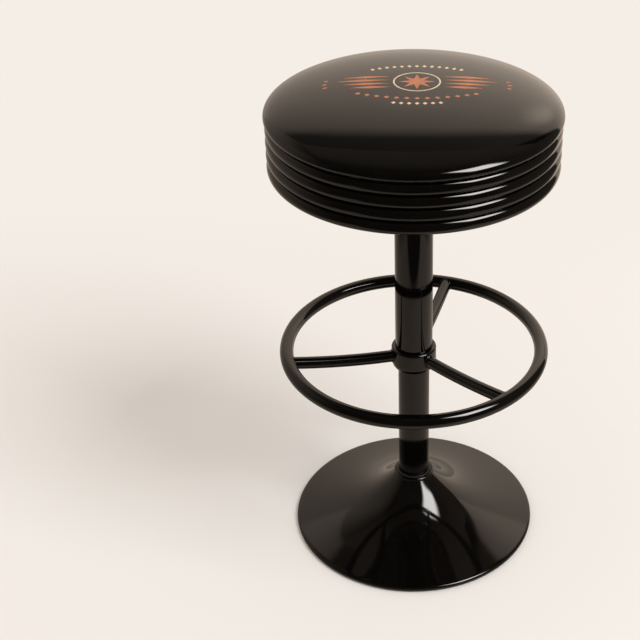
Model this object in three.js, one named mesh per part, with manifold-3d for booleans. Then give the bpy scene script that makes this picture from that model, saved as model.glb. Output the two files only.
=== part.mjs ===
import * as THREE from 'three';
import { mergeVertices } from 'three/addons/utils/BufferGeometryUtils.js';
import Module from 'manifold-3d';

// Diner counter stool, in millimetres, +Z up. The floor is z = 0 and the column stands on the Z axis.

const wasm = await Module();
wasm.setup();

// Gaps between pieces
const seatingGap = 0.3;
const runningGap = 0.4;
const threadGap = 0.3;
const cutOverrun = 4;
const weldDistance = 0.0001;

// Roundness of the revolved pieces
const roundSegments = 36;
const plateSegments = 32;
const tubeSegments = 24;
const innerTubeSegments = 16;
const smallSegments = 8;
const hexSides = 6;

// Column, with the wider sleeve over its upper part
const columnRadius = 22;
const columnWall = 2.5;
const sleeveSpace = 2.5;
const sleeveWall = 1.5;
const sleeveRadius = columnRadius + sleeveSpace + sleeveWall;
const spacerHeight = 14;
const spacerSetback = 3;

// Trumpet base
const baseRadius = 175;
const shellWall = 2;
const rimRollRadius = 2.4;
const rimLift = 0.6;
const rimSteps = 6;
const neckHeight = 82;
const neckBeadRadius = 2.7;
const neckBeadSteps = 4;
const bushWall = 1.2;
const bushDepth = 12;
const bushLipWidth = 2.8;
const bushLipHeight = 1.6;
const neckAngle = THREE.MathUtils.degToRad(47);
const rimAngle = THREE.MathUtils.degToRad(14.7);
const neckHandleShare = 0.358;
const rimHandleShare = 0.59;
const flareSteps = 7;

// Base plate, ballast and floor ring
const plateInset = 11;
const plateThickness = 2.4;
const dishRise = 9.5;
const dishTopRadius = 34;
const dishFootRadius = 50;
const ballastInset = 41;
const ballastShoulder = 34;
const ballastBoreMargin = 8;
const ballastHeadroom = 1.5;
const floorRingInset = 2;
const floorRingWidth = 14;
const floorRingBevel = 0.8;

// Foot bolt
const footBoltRadius = 6;
const footBoltHeadRadius = 10;
const footBoltHeadHeight = 7.5;
const footBoltReach = 28;
const footWasherRadius = 19;
const footWasherThickness = 2.5;
const plugHeight = 24;

// Footrest
const footrestHeight = 302.3;
const footrestRadius = 177.7;
const footrestTubeRadius = 9.55;
const footrestTubeWall = 1.5;
const footrestTubeSides = 12;
const footrestBoreSides = 8;
const ventRadius = 3;
const spokeRadius = 8.4;
const spokeWall = 1.5;
const spokeDrop = 12;
const spokeSteps = 6;
const spokeSides = 12;
const spokeAngles = [194, 314, 74];
const hubWall = 5;
const hubBottomDrop = 31.3;
const hubTopRise = 2.2;
const hubTopRound = 3;
const hubTaperHeight = 12;
const hubTaperWidth = 7;
const hubTaperSteps = 4;
const hubRoundSteps = 3;
const hubSocketDepth = 16;
const setScrewRadius = 3;
const setScrewDrop = 23;
const setScrewRecess = 0.8;
const setScrewSocketRadius = 1.7;
const setScrewSocketDepth = 3;
const setScrewAngles = [14, 134];

// Ball-race swivel
const ballRadius = 4.75;
const ballCount = 12;
const ballPitchRadius = 45;
const raceGap = 0.4;
const raceDepth = 2;
const raceSteps = 5;
const swivelPlateThickness = 4;
const lowerPlateRadius = 80;
const upperPlateMargin = 18;
const flangeThickness = 5;
const cageThickness = 1.6;
const cageMargin = 3.2;
const rivetRadius = 6;
const rivetHeadRadius = 11;
const rivetHeadHeight = 3;
const rivetHeadEdge = 1.2;
const rivetRoom = 3;

// Fasteners of the swivel
const flangeBoltRadius = 3;
const flangeBoltHeadRadius = 5.4;
const flangeBoltHeadHeight = 3;
const flangeBoltHeadSteps = 3;
const flangeBoltInset = 9;
const flangeBoltCount = 4;
const boltTurnShare = 0.5;
const nutRadius = 5.8;
const nutHeight = 4.8;
const boltTail = 2;
const seatScrewRadius = 2.4;
const seatScrewHeadRadius = 5;
const seatScrewHeadHeight = 3.2;
const seatScrewInset = 9;
const seatScrewBite = 11;
const seatScrewCount = 4;

// Seat
const seatBottomHeight = 585.2;
const bandCrestRadius = 188.7;
const bandGrooveDepth = 3.7;
const bandSheet = 1.2;
const bandLipWidth = 19;
const beadCount = 4;
const beadPitch = 16.675;
const beadSteps = 6;
const beadFullnessPower = 2.2;
const coverSheet = 1.2;
const boardThickness = 15;
const skirtStart = 3.5;
const domeOverhang = 2.4;
const domeEdgeRise = 4.4;
const domeRise = 32.5;
const domePower = 2.24;
const domeSteps = 11;
const domeInsideSteps = 7;
const domeEdgeSteps = 3;
const domeInsideEdgeSteps = 2;
const bandScrewRadius = 1.8;
const bandScrewHeadRadius = 3.8;
const bandScrewHeadHeight = 2.2;
const bandScrewBite = 9;
const bandScrewInset = 7.5;
const bandScrewCount = 4;
const bandScrewTurnShare = 0;

// Finishes, each piece with a material of its own
const finishes = {
  glossBlack: { color: 0x0d0c0b, roughness: 0.12, metalness: 0.2 },
  blackVinyl: { color: 0x100e0d, roughness: 0.18, metalness: 0 },
  blackNylon: { color: 0x1c1c1c, roughness: 0.5, metalness: 0 },
  blackRubber: { color: 0x161616, roughness: 0.9, metalness: 0 },
  castIron: { color: 0x3c3c3e, roughness: 0.8, metalness: 0.6 },
  zincSteel: { color: 0xa9abac, roughness: 0.35, metalness: 0.9 },
  bearingSteel: { color: 0xd0d2d4, roughness: 0.1, metalness: 1 },
  brass: { color: 0xb08d4a, roughness: 0.35, metalness: 0.9 },
  birchPlywood: { color: 0xc9a878, roughness: 0.7, metalness: 0 },
  paleFoam: { color: 0xe6d9b4, roughness: 0.95, metalness: 0 },
};

// Shared shapes

function solidFrom(geometry) {
  const bare = geometry.clone();
  bare.deleteAttribute('normal');
  bare.deleteAttribute('uv');
  const merged = mergeVertices(bare, weldDistance);
  const index = merged.index.array;
  const corners = [];
  for (let i = 0; i < index.length; i += 3) {
    const [a, b, c] = [index[i], index[i + 1], index[i + 2]];
    if (a !== b && b !== c && c !== a) corners.push(a, b, c);
  }
  return new wasm.Manifold(new wasm.Mesh({
    numProp: 3,
    vertProperties: new Float32Array(merged.attributes.position.array),
    triVerts: new Uint32Array(corners),
  }));
}

function geometryFrom(solid) {
  const { vertProperties, triVerts } = solid.getMesh();
  const geometry = new THREE.BufferGeometry();
  geometry.setAttribute('position', new THREE.BufferAttribute(vertProperties, 3));
  geometry.setIndex(new THREE.BufferAttribute(triVerts, 1));
  geometry.computeVertexNormals();
  return geometry;
}

function piece(name, solid, finish) {
  const mesh = new THREE.Mesh(geometryFrom(solid), new THREE.MeshStandardMaterial(finishes[finish]));
  mesh.name = name;
  return mesh;
}

// A profile of [radius, height] points, turned about Z. It runs anticlockwise, with the axis on its left.
function revolved(profile, segments = roundSegments) {
  const points = profile.map(([radius, height]) => new THREE.Vector2(radius, height));
  return solidFrom(new THREE.LatheGeometry(points, segments).rotateX(Math.PI / 2));
}

function revolvedRing(profile, segments = roundSegments) {
  return revolved([...profile, profile[0]], segments);
}

function rod(radius, bottom, top, segments = smallSegments) {
  return revolved([[0, bottom], [radius, bottom], [radius, top], [0, top]], segments);
}

function tube(innerRadius, outerRadius, bottom, top, segments = tubeSegments) {
  const profile = [[innerRadius, bottom], [outerRadius, bottom], [outerRadius, top], [innerRadius, top]];
  return revolvedRing(profile, segments);
}

function arc(centreRadius, centreHeight, radius, fromDegrees, toDegrees, steps) {
  const points = [];
  for (let i = 0; i <= steps; i += 1) {
    const angle = THREE.MathUtils.degToRad(THREE.MathUtils.lerp(fromDegrees, toDegrees, i / steps));
    points.push([centreRadius + radius * Math.cos(angle), centreHeight + radius * Math.sin(angle)]);
  }
  return points;
}

// A copy for each of count places, evenly spaced on a circle about Z.
function aroundCircle(count, radius, turnShare, makePiece) {
  const copies = [];
  for (let i = 0; i < count; i += 1) {
    const angle = ((i + turnShare) / count) * 2 * Math.PI;
    const copy = makePiece(i + 1);
    copy.position.x = radius * Math.cos(angle);
    copy.position.y = radius * Math.sin(angle);
    copies.push(copy);
  }
  return copies;
}

function drilled(solid, count, pitchRadius, turnShare, cutter) {
  let result = solid;
  for (let i = 0; i < count; i += 1) {
    const angle = ((i + turnShare) / count) * 2 * Math.PI;
    result = result.subtract(cutter.translate([pitchRadius * Math.cos(angle), pitchRadius * Math.sin(angle), 0]));
  }
  return result;
}


// Trumpet base
const neckBeadCentre = columnRadius + seatingGap + bushWall + seatingGap + neckBeadRadius;
const rimCentre = [baseRadius - rimRollRadius, rimLift + rimRollRadius];
const neckFootDegrees = -75;
const rimStartDegrees = 156;
const rimTopDegrees = 90 - THREE.MathUtils.radToDeg(rimAngle);

// The outer curve of the flare, from the neck bead down to the rolled rim
function flareCurve() {
  const [start] = arc(neckBeadCentre, neckHeight, neckBeadRadius, neckFootDegrees, neckFootDegrees, 1);
  const [end] = arc(...rimCentre, rimRollRadius, rimTopDegrees, rimTopDegrees, 1);
  const run = end[0] - start[0];
  const neckHandle = neckHandleShare * run;
  const rimHandle = rimHandleShare * run;
  return new THREE.CubicBezierCurve(
    new THREE.Vector2(...start),
    new THREE.Vector2(start[0] + neckHandle * Math.cos(neckAngle), start[1] - neckHandle * Math.sin(neckAngle)),
    new THREE.Vector2(end[0] - rimHandle * Math.cos(rimAngle), end[1] + rimHandle * Math.sin(rimAngle)),
    new THREE.Vector2(...end),
  );
}

// Points down the flare, drawn in by an offset square to it
function flareSide(offset) {
  const curve = flareCurve();
  const points = [];
  for (let i = 0; i <= flareSteps; i += 1) {
    const point = curve.getPoint(i / flareSteps);
    const along = curve.getTangent(i / flareSteps);
    points.push([point.x + along.y * offset, point.y - along.x * offset]);
  }
  return points;
}

// Height of the underside of the flare at a radius
function flareInsideHeight(radius) {
  const side = flareSide(shellWall);
  let next = side.findIndex(([r]) => r >= radius);
  if (next < 1) next = side.length - 1;
  const [r0, z0] = side[next - 1];
  const [r1, z1] = side[next];
  return z0 + ((z1 - z0) * (radius - r0)) / (r1 - r0);
}

function baseBell() {
  const outside = flareSide(0).reverse();
  const inside = flareSide(shellWall).slice(0, -1);
    const rim = arc(...rimCentre, rimRollRadius, rimStartDegrees, 360 + rimTopDegrees, rimSteps);
  const bead = arc(neckBeadCentre, neckHeight, neckBeadRadius, neckFootDegrees, 180, neckBeadSteps);
  const bore = neckBeadCentre - neckBeadRadius;
  const [neckRadius, neckZ] = inside[0];
  const throat = [bore, neckZ + (neckRadius - bore) * Math.tan(neckAngle)];
  return revolvedRing([...rim, ...outside.slice(1), ...bead.slice(1), throat, ...inside]);
}

const plateRadius = baseRadius - plateInset;
const plateTop = flareInsideHeight(plateRadius) - seatingGap;
const plateBottom = plateTop - plateThickness;
const dishTop = plateTop + dishRise;
const dishBottom = plateBottom + dishRise;

function basePlate() {
  const hole = footBoltRadius + threadGap;
  return revolvedRing([
    [hole, dishBottom], [dishTopRadius, dishBottom], [dishFootRadius, plateBottom], [plateRadius, plateBottom],
    [plateRadius, plateTop], [dishFootRadius, plateTop], [dishTopRadius, dishTop], [hole, dishTop],
  ], plateSegments);
}

function ballastWeight() {
  const bore = dishFootRadius + ballastBoreMargin;
  const outer = baseRadius - ballastInset;
  const shoulder = outer - ballastShoulder;
  const bottom = plateTop + seatingGap;
  const shoulderHeight = flareInsideHeight(shoulder) - ballastHeadroom;
  return revolvedRing([
    [bore, bottom], [outer, bottom], [outer, flareInsideHeight(outer) - ballastHeadroom],
    [shoulder, shoulderHeight], [bore, shoulderHeight],
  ], plateSegments);
}

function floorRing() {
  const outer = plateRadius - floorRingInset;
  const inner = outer - floorRingWidth;
  const top = plateBottom - seatingGap;
  return revolvedRing([
    [inner, floorRingBevel], [inner + floorRingBevel, 0], [outer - floorRingBevel, 0],
    [outer, floorRingBevel], [outer, top], [inner, top],
  ], plateSegments);
}

function neckBush() {
  const bore = columnRadius + seatingGap;
  const sleeve = bore + bushWall;
  const lip = bore + bushLipWidth;
  const lipBottom = neckHeight + neckBeadRadius + seatingGap;
  const lipTop = lipBottom + bushLipHeight;
  const bottom = neckHeight - bushDepth;
  return revolvedRing([
    [bore, bottom], [sleeve, bottom], [sleeve, lipBottom], [lip, lipBottom],
    [lip, lipBottom + bushLipHeight / 2], [lip - bushLipHeight / 2, lipTop], [bore, lipTop],
  ], tubeSegments);
}

// Swivel heights, worked down from the seat and measured from the plane of the balls
const raceRadius = ballRadius + raceGap;
const plateGap = 2 * (raceRadius - raceDepth);
const swivelHeight = seatBottomHeight + bandSheet - swivelPlateThickness - plateGap / 2;
const lowerPlateBottom = -plateGap / 2 - swivelPlateThickness;
const flangeTop = lowerPlateBottom - seatingGap;
const flangeBottom = flangeTop - flangeThickness;
const columnBottom = dishTop + seatingGap;
const columnTop = swivelHeight + flangeBottom - seatingGap;
const flangeBoltPitch = lowerPlateRadius - flangeBoltInset;
const upperPlateRadius = lowerPlateRadius + upperPlateMargin;
const seatScrewPitch = upperPlateRadius - seatScrewInset;

function mainColumn() {
  return tube(columnRadius - columnWall, columnRadius, columnBottom, columnTop);
}

function columnFootPlug() {
  const outer = columnRadius - columnWall - seatingGap;
  const bottom = columnBottom + seatingGap;
  return tube(footBoltRadius + threadGap, outer, bottom, bottom + plugHeight, innerTubeSegments);
}

function footBolt() {
  const head = dishBottom - seatingGap - footWasherThickness - seatingGap;
  const shank = rod(footBoltRadius, head - footBoltHeadHeight / 2, head + footBoltReach);
  return rod(footBoltHeadRadius, head - footBoltHeadHeight, head, hexSides).add(shank);
}

function footWasher() {
  const top = dishBottom - seatingGap;
  const hole = footBoltRadius + threadGap;
  return tube(hole, footWasherRadius, top - footWasherThickness, top, innerTubeSegments);
}

// Footrest, measured from the plane of its ring
const hubBore = columnRadius + seatingGap;
const hubRadius = sleeveRadius + seatingGap + hubWall;
const hubSocketBottom = hubTopRise - hubSocketDepth;
const setScrewHole = setScrewRadius + threadGap;

function footrestHub() {
  const bottom = -hubBottomDrop;
  const taper = [];
  for (let i = 0; i <= hubTaperSteps; i += 1) {
    const angle = (i / hubTaperSteps) * (Math.PI / 2);
    taper.push([
      hubRadius - hubTaperWidth * (1 - Math.sin(angle)),
      bottom + hubTaperHeight * (1 - Math.cos(angle)),
    ]);
  }
  const lip = arc(hubRadius - hubTopRound, hubTopRise - hubTopRound, hubTopRound, 0, 90, hubRoundSteps);
  const socket = sleeveRadius + seatingGap;
  const hub = revolvedRing([
    [hubBore, bottom], ...taper, ...lip, [socket, hubTopRise],
    [socket, hubSocketBottom], [hubBore, hubSocketBottom],
  ], tubeSegments);
  const hole = rod(setScrewHole, 0, hubRadius + cutOverrun).rotate([0, 90, 0]).translate([0, 0, -setScrewDrop]);
  return setScrewAngles.reduce((left, angle) => left.subtract(hole.rotate([0, 0, angle])), hub);
}

// A grub screw along +X, with its tip on the column and a socket in its outer end
function setScrew() {
  const outerEnd = hubRadius - setScrewRecess;
  const socket = rod(setScrewSocketRadius, outerEnd - setScrewSocketDepth, outerEnd + cutOverrun, hexSides);
  return rod(setScrewRadius, hubBore, outerEnd).subtract(socket).rotate([0, 90, 0]);
}

function torus(tubeRadius, sides = footrestTubeSides) {
  return solidFrom(new THREE.TorusGeometry(footrestRadius, tubeRadius, sides, roundSegments));
}

function footrestRing() {
  const ring = torus(footrestTubeRadius)
    .subtract(torus(footrestTubeRadius - footrestTubeWall, footrestBoreSides));
  const vent = rod(ventRadius, footrestRadius - footrestTubeRadius - cutOverrun, footrestRadius)
    .rotate([0, 90, 0]);
  return spokeAngles.reduce((left, angle) => left.subtract(vent.rotate([0, 0, angle])), ring);
}

// A bowed tube along +X, coped at one end to the hub and at the other to the ring
function footrestSpoke(angle) {
  const start = new THREE.Vector3(sleeveRadius, 0, -spokeDrop);
  const middle = new THREE.Vector3((sleeveRadius + footrestRadius) / 2, 0, -spokeDrop);
  const end = new THREE.Vector3(footrestRadius, 0, 0);
  const section = new THREE.Shape().absarc(0, 0, spokeRadius, 0, 2 * Math.PI);
  section.holes.push(new THREE.Path().absarc(0, 0, spokeRadius - spokeWall, 0, 2 * Math.PI));
  const bar = solidFrom(new THREE.ExtrudeGeometry(section, {
    steps: spokeSteps,
    curveSegments: spokeSides / 2,
    extrudePath: new THREE.QuadraticBezierCurve3(start, middle, end),
  }));
  const hubReach = 2 * hubBottomDrop;
  const hubCutter = rod(hubRadius + seatingGap, -hubReach, hubReach, tubeSegments);
  const ringCutter = torus(footrestTubeRadius + seatingGap);
  return bar.subtract(hubCutter.rotate([0, 0, -angle])).subtract(ringCutter.rotate([0, 0, -angle]));
}

function coverSleeve() {
  const bottom = footrestHeight + hubSocketBottom + seatingGap;
  return tube(sleeveRadius - sleeveWall, sleeveRadius, bottom, columnTop);
}

function sleeveSpacer() {
  const top = columnTop - spacerSetback;
  const inner = columnRadius + seatingGap;
  const outer = sleeveRadius - sleeveWall - seatingGap;
  return tube(inner, outer, top - spacerHeight, top);
}

// Swivel: a plate profile above the balls, with half of the race turned into its lower face
function racePlateProfile(plateRim) {
  const face = plateGap / 2;
  const top = face + swivelPlateThickness;
  const hole = rivetRadius + runningGap;
  const edgeDegrees = THREE.MathUtils.radToDeg(Math.asin(face / raceRadius));
  return [
    [hole, face], ...arc(ballPitchRadius, 0, raceRadius, 180 - edgeDegrees, edgeDegrees, raceSteps),
    [plateRim, face], [plateRim, top], [hole, top],
  ];
}

function swivelUpperPlate() {
  const plate = revolvedRing(racePlateProfile(upperPlateRadius), plateSegments);
  const hole = rod(seatScrewRadius + threadGap, 0, plateGap / 2 + swivelPlateThickness + cutOverrun);
  return drilled(plate, seatScrewCount, seatScrewPitch, boltTurnShare, hole);
}

function swivelLowerPlate() {
  const mirrored = racePlateProfile(lowerPlateRadius).map(([radius, height]) => [radius, -height]).reverse();
  const hole = rod(flangeBoltRadius + threadGap, lowerPlateBottom - cutOverrun, 0);
  const plate = revolvedRing(mirrored, plateSegments);
  return drilled(plate, flangeBoltCount, flangeBoltPitch, boltTurnShare, hole);
}

function columnFlange() {
  const plate = tube(rivetHeadRadius + rivetRoom, lowerPlateRadius, flangeBottom, flangeTop, plateSegments);
  const hole = rod(flangeBoltRadius + threadGap, flangeBottom - cutOverrun, flangeTop + cutOverrun);
  return drilled(plate, flangeBoltCount, flangeBoltPitch, boltTurnShare, hole);
}

function kingRivet() {
  const top = -lowerPlateBottom + seatingGap;
  const bottom = -top;
  const neck = rivetHeadRadius - rivetHeadEdge;
  return revolved([
    [0, bottom - rivetHeadHeight], [neck, bottom - rivetHeadHeight],
    [rivetHeadRadius, bottom - rivetHeadHeight + rivetHeadEdge], [rivetHeadRadius, bottom],
    [rivetRadius, bottom], [rivetRadius, top], [rivetHeadRadius, top],
    [rivetHeadRadius, top + rivetHeadHeight - rivetHeadEdge], [neck, top + rivetHeadHeight],
    [0, top + rivetHeadHeight],
  ], smallSegments * 2);
}

function bearingCage() {
  const half = cageThickness / 2;
  const reach = raceRadius + cageMargin;
  const ring = tube(ballPitchRadius - reach, ballPitchRadius + reach, -half, half, plateSegments);
  const pocket = rod(raceRadius, -cutOverrun, cutOverrun);
  return drilled(ring, ballCount, ballPitchRadius, 0, pocket);
}

function bearingBall() {
  return solidFrom(new THREE.IcosahedronGeometry(ballRadius, 1));
}

// A mushroom-head bolt with the underside of its head at z = 0
function flangeBolt() {
  const grip = swivelPlateThickness + seatingGap + flangeThickness + seatingGap + nutHeight + boltTail;
  const crown = arc(0, 0, 1, 20, 90, flangeBoltHeadSteps)
    .map(([across, up]) => [across * flangeBoltHeadRadius, up * flangeBoltHeadHeight]);
  return revolved([
    [0, -grip], [flangeBoltRadius, -grip], [flangeBoltRadius, 0], [flangeBoltHeadRadius, 0],
    ...crown,
  ], smallSegments);
}

function flangeNut() {
  const hole = rod(flangeBoltRadius + threadGap, -nutHeight - cutOverrun, cutOverrun);
  return rod(nutRadius, -nutHeight, 0, hexSides).subtract(hole);
}

// A hex-head wood screw pointing up, with the top of its head at z = 0
function seatScrew() {
  const tip = swivelPlateThickness + seatingGap + seatScrewBite;
  const head = rod(seatScrewHeadRadius, -seatScrewHeadHeight, 0, hexSides);
  return head.add(rod(seatScrewRadius, -seatScrewHeadHeight / 2, tip));
}

// Seat, measured from the underside of the bead band
const bandGrooveRadius = bandCrestRadius - bandGrooveDepth;
const bandTop = beadCount * beadPitch;
const boardBottom = bandSheet + seatingGap;
const boardTop = boardBottom + boardThickness;
const skirtOuter = bandGrooveRadius - bandSheet - runningGap;
const skirtInner = skirtOuter - coverSheet;
const padRadius = skirtInner - seatingGap;
const coverUnderside = bandTop + seatingGap;
const domeEquator = coverUnderside + domeEdgeRise;
const domeRadius = bandCrestRadius + domeOverhang;
const bandScrewPitch = bandGrooveRadius - bandLipWidth + bandScrewInset;

// One quarter of a superellipse, from its side to its top
function swollenQuarter(acrossRadius, rise, power, steps) {
  const points = [];
  for (let i = 0; i <= steps; i += 1) {
    const angle = (i / steps) * (Math.PI / 2);
    const across = Math.max(0, Math.cos(angle)) ** (2 / power);
    points.push([acrossRadius * (i === steps ? 0 : across), rise * Math.sin(angle) ** (2 / power)]);
  }
  return points;
}

function beadOutline() {
  const half = swollenQuarter(bandGrooveDepth, beadPitch / 2, beadFullnessPower, beadSteps / 2);
  const upper = half.map(([out, up]) => [bandGrooveRadius + out, up]);
  const lower = upper.slice(1).reverse().map(([radius, up]) => [radius, -up]);
  return [...lower, ...upper];
}

function beadBand() {
  const outside = [];
  const inside = [];
  for (let bead = 0; bead < beadCount; bead += 1) {
    const middle = (bead + 1 / 2) * beadPitch;
    const outline = beadOutline().map(([radius, up]) => [radius, middle + up]);
    outside.push(...(bead ? outline.slice(1) : outline));
    const grooveHeight = middle + beadPitch / 2;
    inside.unshift([bandGrooveRadius - bandSheet, grooveHeight], [bandCrestRadius - bandSheet, middle]);
  }
  const lipInner = bandGrooveRadius - bandLipWidth;
  const band = revolvedRing([
    [lipInner, 0], ...outside, ...inside, [bandGrooveRadius - bandSheet, bandSheet], [lipInner, bandSheet],
  ]);
  const hole = rod(bandScrewRadius + threadGap, -cutOverrun, cutOverrun);
  return drilled(band, bandScrewCount, bandScrewPitch, bandScrewTurnShare, hole);
}

function seatBoard() {
  const hole = rivetHeadRadius + rivetRoom;
  const board = tube(hole, padRadius, boardBottom, boardTop, roundSegments);
  const seatPilot = rod(seatScrewRadius + threadGap, 0, boardBottom + seatScrewBite + threadGap);
  const bandPilot = rod(bandScrewRadius + threadGap, 0, boardBottom + bandScrewBite + threadGap);
  const withSeatPilots = drilled(board, seatScrewCount, seatScrewPitch, boltTurnShare, seatPilot);
  return drilled(withSeatPilots, bandScrewCount, bandScrewPitch, bandScrewTurnShare, bandPilot);
}

// Half of the section of the dome, from its lower edge to its crown, drawn in by an inset
function domeSide(inset, crownSteps, edgeSteps) {
  const edgeRun = domeRadius - skirtOuter;
  const crown = swollenQuarter(domeRadius - inset, domeRise - inset, domePower, crownSteps)
    .map(([radius, up]) => [radius, domeEquator + up]);
  const edge = arc(0, 0, 1, -90, 0, edgeSteps).slice(0, -1).map(([across, up]) => [
    skirtOuter + (edgeRun - inset) * across, domeEquator + (domeEdgeRise - inset) * up,
  ]);
  return [...edge, ...crown];
}

function vinylCover() {
  const skirtBottom = boardBottom + skirtStart;
  const inner = domeSide(coverSheet, domeInsideSteps, domeInsideEdgeSteps).reverse();
  return revolved([
    ...inner.slice(0, -1), [skirtInner, coverUnderside + coverSheet], [skirtInner, skirtBottom],
    [skirtOuter, skirtBottom], ...domeSide(0, domeSteps, domeEdgeSteps),
  ]);
}

function foamPad() {
  const padInset = coverSheet + seatingGap;
  const shoulder = coverUnderside + padInset;
  return revolved([
    [0, boardTop + seatingGap], [padRadius, boardTop + seatingGap], [padRadius, shoulder],
    ...domeSide(padInset, domeInsideSteps, domeInsideEdgeSteps).slice(1),
  ]);
}

// A pan-head wood screw pointing up, with the top of its head at z = 0
function bandScrew() {
  const tip = bandSheet + seatingGap + bandScrewBite;
  return revolved([
    [0, -bandScrewHeadHeight], [bandScrewHeadRadius / 2, -bandScrewHeadHeight],
    [bandScrewHeadRadius, -bandScrewHeadHeight / 2], [bandScrewHeadRadius, 0],
    [bandScrewRadius, 0], [bandScrewRadius, tip], [0, tip],
  ], smallSegments);
}

// Assembly

function raised(height, ...members) {
  const group = new THREE.Group();
  group.position.z = height;
  group.add(...members.flat());
  return group;
}

function turned(mesh, degrees) {
  mesh.rotation.z = THREE.MathUtils.degToRad(degrees);
  return mesh;
}

function atHeight(meshes, height) {
  meshes.forEach((mesh) => { mesh.position.z = height; });
  return meshes;
}

const base = raised(
  0,
  piece('base_bell', baseBell(), 'glossBlack'),
  piece('floor_ring', floorRing(), 'blackRubber'),
  piece('base_plate', basePlate(), 'zincSteel'),
  piece('ballast_weight', ballastWeight(), 'castIron'),
  piece('neck_bush', neckBush(), 'blackNylon'),
  piece('main_column', mainColumn(), 'glossBlack'),
  piece('column_foot_plug', columnFootPlug(), 'zincSteel'),
  piece('base_bolt', footBolt(), 'zincSteel'),
  piece('base_washer', footWasher(), 'zincSteel'),
  piece('cover_sleeve', coverSleeve(), 'glossBlack'),
  piece('sleeve_spacer', sleeveSpacer(), 'blackNylon'),
);

const footrest = raised(
  footrestHeight,
  piece('footrest_hub', footrestHub(), 'glossBlack'),
  piece('footrest_ring', footrestRing(), 'glossBlack'),
  spokeAngles.map((angle, i) => {
    const spoke = piece(`footrest_spoke_${i + 1}`, footrestSpoke(angle), 'glossBlack');
    return turned(spoke, angle);
  }),
  raised(
    -setScrewDrop,
    setScrewAngles.map((angle, i) => turned(piece(`hub_set_screw_${i + 1}`, setScrew(), 'zincSteel'), angle)),
  ),
);

const swivel = raised(
  swivelHeight,
  piece('column_flange', columnFlange(), 'glossBlack'),
  piece('swivel_lower_plate', swivelLowerPlate(), 'zincSteel'),
  piece('swivel_upper_plate', swivelUpperPlate(), 'zincSteel'),
  piece('king_rivet', kingRivet(), 'zincSteel'),
  piece('bearing_cage', bearingCage(), 'brass'),
  aroundCircle(ballCount, ballPitchRadius, 0, (n) => piece(`bearing_ball_${n}`, bearingBall(), 'bearingSteel')),
  atHeight(aroundCircle(flangeBoltCount, flangeBoltPitch, boltTurnShare,
    (n) => piece(`flange_bolt_${n}`, flangeBolt(), 'zincSteel')), -plateGap / 2 + seatingGap),
  atHeight(aroundCircle(flangeBoltCount, flangeBoltPitch, boltTurnShare,
    (n) => piece(`flange_nut_${n}`, flangeNut(), 'zincSteel')), flangeBottom - seatingGap),
  atHeight(aroundCircle(seatScrewCount, seatScrewPitch, boltTurnShare,
    (n) => piece(`seat_screw_${n}`, seatScrew(), 'zincSteel')), plateGap / 2 - seatingGap),
);

const seat = raised(
  seatBottomHeight,
  piece('seat_board', seatBoard(), 'birchPlywood'),
  piece('bead_band', beadBand(), 'glossBlack'),
  piece('foam_pad', foamPad(), 'paleFoam'),
  piece('vinyl_cover', vinylCover(), 'blackVinyl'),
  atHeight(aroundCircle(bandScrewCount, bandScrewPitch, bandScrewTurnShare,
    (n) => piece(`band_screw_${n}`, bandScrew(), 'zincSteel')), -seatingGap),
);

const stool = new THREE.Group();
stool.add(base, footrest, swivel, seat);

export default stool;
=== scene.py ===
"""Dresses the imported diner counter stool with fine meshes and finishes, on a plain studio floor."""
import math
from functools import partialmethod

import bmesh
import bpy
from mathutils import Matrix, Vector


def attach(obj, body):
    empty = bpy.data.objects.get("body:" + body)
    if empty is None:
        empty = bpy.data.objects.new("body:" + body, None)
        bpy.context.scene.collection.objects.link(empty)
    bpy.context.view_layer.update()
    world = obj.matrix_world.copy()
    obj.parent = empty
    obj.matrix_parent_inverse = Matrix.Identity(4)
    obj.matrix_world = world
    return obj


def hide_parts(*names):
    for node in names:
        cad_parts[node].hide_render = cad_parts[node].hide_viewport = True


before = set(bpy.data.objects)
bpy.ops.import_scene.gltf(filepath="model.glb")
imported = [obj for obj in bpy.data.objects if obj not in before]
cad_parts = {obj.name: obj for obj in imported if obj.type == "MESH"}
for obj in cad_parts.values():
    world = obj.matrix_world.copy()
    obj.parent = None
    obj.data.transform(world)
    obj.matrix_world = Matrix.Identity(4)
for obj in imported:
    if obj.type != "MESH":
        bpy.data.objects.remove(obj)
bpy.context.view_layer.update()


# ------------------------------------------
# Rubber floor ring: a moulded ring pushed up inside the rolled rim of the base. The stool
# stands on it, so its foot has grooves that grip the floor. It is matte, with mould texture.

mm = 0.001
sheet = bpy.context.scene.collection


def softened(corners, bend_steps=4):
    """An outline whose corners are rounded. Each corner is a radius, a height and a rounding in mm."""
    outline = []
    for index, (radius, height, rounding) in enumerate(corners):
        here = Vector((radius, height))
        if not rounding:
            outline.append(here)
            continue
        before = Vector(corners[index - 1][:2])
        after = Vector(corners[(index + 1) % len(corners)][:2])
        start = here + (before - here).normalized() * rounding
        end = here + (after - here).normalized() * rounding
        for step in range(bend_steps + 1):
            share = step / bend_steps
            outline.append(start.lerp(here, share).lerp(here.lerp(end, share), share))
    return outline


def hexagon_reach(angle, corner_radius):
    """How far a hexagon reaches at an angle."""
    sixth = math.pi / 3
    from_flat = (angle + sixth / 2) % sixth - sixth / 2
    return corner_radius * math.cos(sixth / 2) / math.cos(from_flat)


def finished_mesh(name, shape, material, crease=32):
    """Turns an edited shape into a smooth object with its faces outwards."""
    bmesh.ops.recalc_face_normals(shape, faces=shape.faces)
    mesh = bpy.data.meshes.new(name)
    shape.to_mesh(mesh)
    shape.free()
    mesh.shade_smooth()
    mesh.set_sharp_from_angle(angle=math.radians(crease))
    mesh.materials.append(material)
    made = bpy.data.objects.new(name, mesh)
    sheet.objects.link(made)
    return made


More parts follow.
